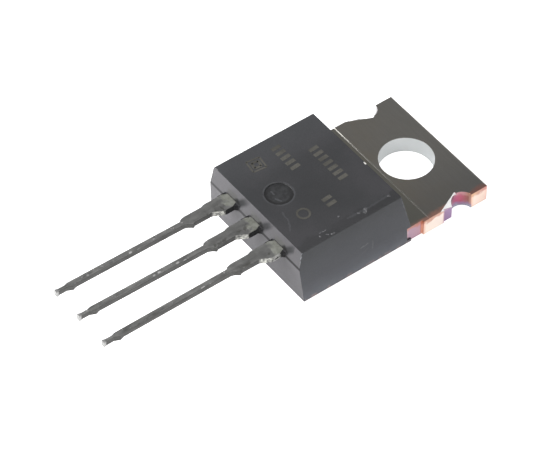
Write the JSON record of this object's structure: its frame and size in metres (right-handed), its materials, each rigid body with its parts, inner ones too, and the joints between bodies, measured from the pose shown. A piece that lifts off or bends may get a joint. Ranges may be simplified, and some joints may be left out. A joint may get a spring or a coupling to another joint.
{
  "type": "power transistor",
  "caption": "Moulded power transistor with a flat metal cooling tab and a row of straight through-hole leads.",
  "frame": {"origin": "centre of the mounting hole at the back face of the tab", "axes": "+Z out of the back face through the tab and the moulding, +Y from the leads towards the free end of the tab, +X to the right seen from above"},
  "size_m": [0.0102, 0.029, 0.0044],
  "materials": {
    "moulding": "matt, filled epoxy",
    "plated_frame": "satin plated copper",
    "plated_lead": "dull tin plate",
    "chip": "polished silicon",
    "solder": "dull solder",
    "bond_wire": "drawn aluminium"
  },
  "bodies": {
    "root": {"moulded_body": "moulding", "heatsink_leadframe": "plated_frame", "gate_lead": "plated_lead", "source_lead": "plated_lead", "silicon_die": "chip", "die_attach_solder": "solder", "gate_bond_wire": "bond_wire", "source_bond_wire_inner": "bond_wire", "source_bond_wire_outer": "bond_wire"}
  },
  "joints": []
}
